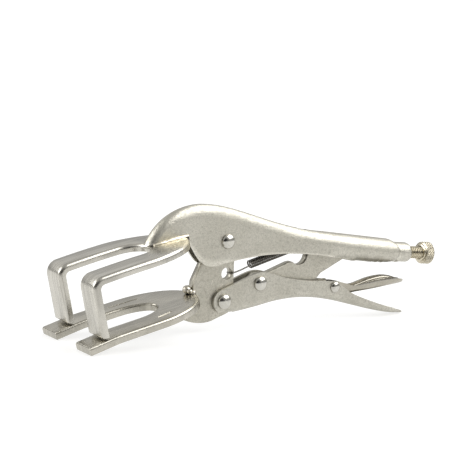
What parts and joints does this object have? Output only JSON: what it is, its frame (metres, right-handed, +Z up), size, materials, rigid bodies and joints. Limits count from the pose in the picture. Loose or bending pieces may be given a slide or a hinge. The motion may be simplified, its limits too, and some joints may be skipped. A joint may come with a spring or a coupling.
{
  "type": "locking welding clamp pliers",
  "caption": "Hand-held locking pliers with U-shaped fork jaws, toggle linkage, knurled adjusting knob, return spring and release lever.",
  "frame": {"origin": "centre of the bounding box in plan, on the surface that the closed pliers stand on", "axes": "+X from the fork jaws back to the adjusting knob, +Y across the tool towards the far side of the handles, +Z up from the lower handle to the upper handle"},
  "size_m": [0.2279, 0.0518, 0.0667],
  "materials": {
    "handle_steel": "satin nickel plate",
    "fork_steel": "satin nickel plate, sheared edges",
    "rivet_steel": "bright nickel plate",
    "weld_metal": "plated over, as welded",
    "screw_steel": "yellow-tinted zinc plate",
    "spring_steel": "dark oiled wire"
  },
  "bodies": {
    "body": {"upper_handle": "handle_steel", "upper_jaw_fork": "fork_steel", "upper_weld_near": "weld_metal", "upper_weld_far": "weld_metal", "jaw_rivet": "rivet_steel", "return_spring": "spring_steel"},
    "lower_jaw": {"lower_jaw_plate": "fork_steel", "lower_jaw_fork": "fork_steel", "lower_weld_near": "weld_metal", "lower_weld_far": "weld_metal", "lower_weld_front": "weld_metal", "handle_rivet": "rivet_steel"},
    "handle": {"lower_handle": "handle_steel", "toggle_rivet": "rivet_steel", "release_rivet": "rivet_steel"},
    "link": {"toggle_link": "fork_steel"},
    "lever": {"release_lever": "handle_steel"},
    "screw": {"adjusting_screw": "screw_steel"},
    "knob": {"adjusting_knob": "screw_steel"}
  },
  "joints": [
    {"name": "jaw_pivot", "type": "hinge", "parent": "body", "child": "lower_jaw", "pos_m": [-0.02419, 0, 0.0471], "axis": [0, -1, 0], "range_deg": [0, 12], "deforming": ["return_spring"]},
    {"name": "lower_handle_pivot", "type": "hinge", "parent": "lower_jaw", "child": "handle", "pos_m": [-0.02499, 0, 0.0158], "axis": [0, 1, 0], "range_deg": [0, 54]},
    {"name": "link_pivot", "type": "hinge", "parent": "handle", "child": "link", "pos_m": [-0.00299, 0, 0.0238], "axis": [0, -1, 0], "range_deg": [0, 58]},
    {"name": "release_pivot", "type": "hinge", "parent": "handle", "child": "lever", "pos_m": [0.04511, 0, 0.0189], "axis": [0, 1, 0], "range_deg": [0, 8]},
    {"name": "screw_slide", "type": "slide", "parent": "body", "child": "screw", "axis": [0.9964, 0, -0.0847], "range_m": [0, 0.01]},
    {"name": "knob_turn", "type": "hinge", "parent": "screw", "child": "knob", "pos_m": [0.10721, 0, 0.03342], "axis": [0.9964, 0, -0.0847], "range_deg": [0, 2880]}
  ],
  "couplings": [
    {"joint": "lower_handle_pivot", "follows": "jaw_pivot", "ratio": 4.5},
    {"joint": "link_pivot", "follows": "jaw_pivot", "ratio": 4.8333},
    {"joint": "knob_turn", "follows": "screw_slide", "rad_per_m": 5026.5}
  ]
}
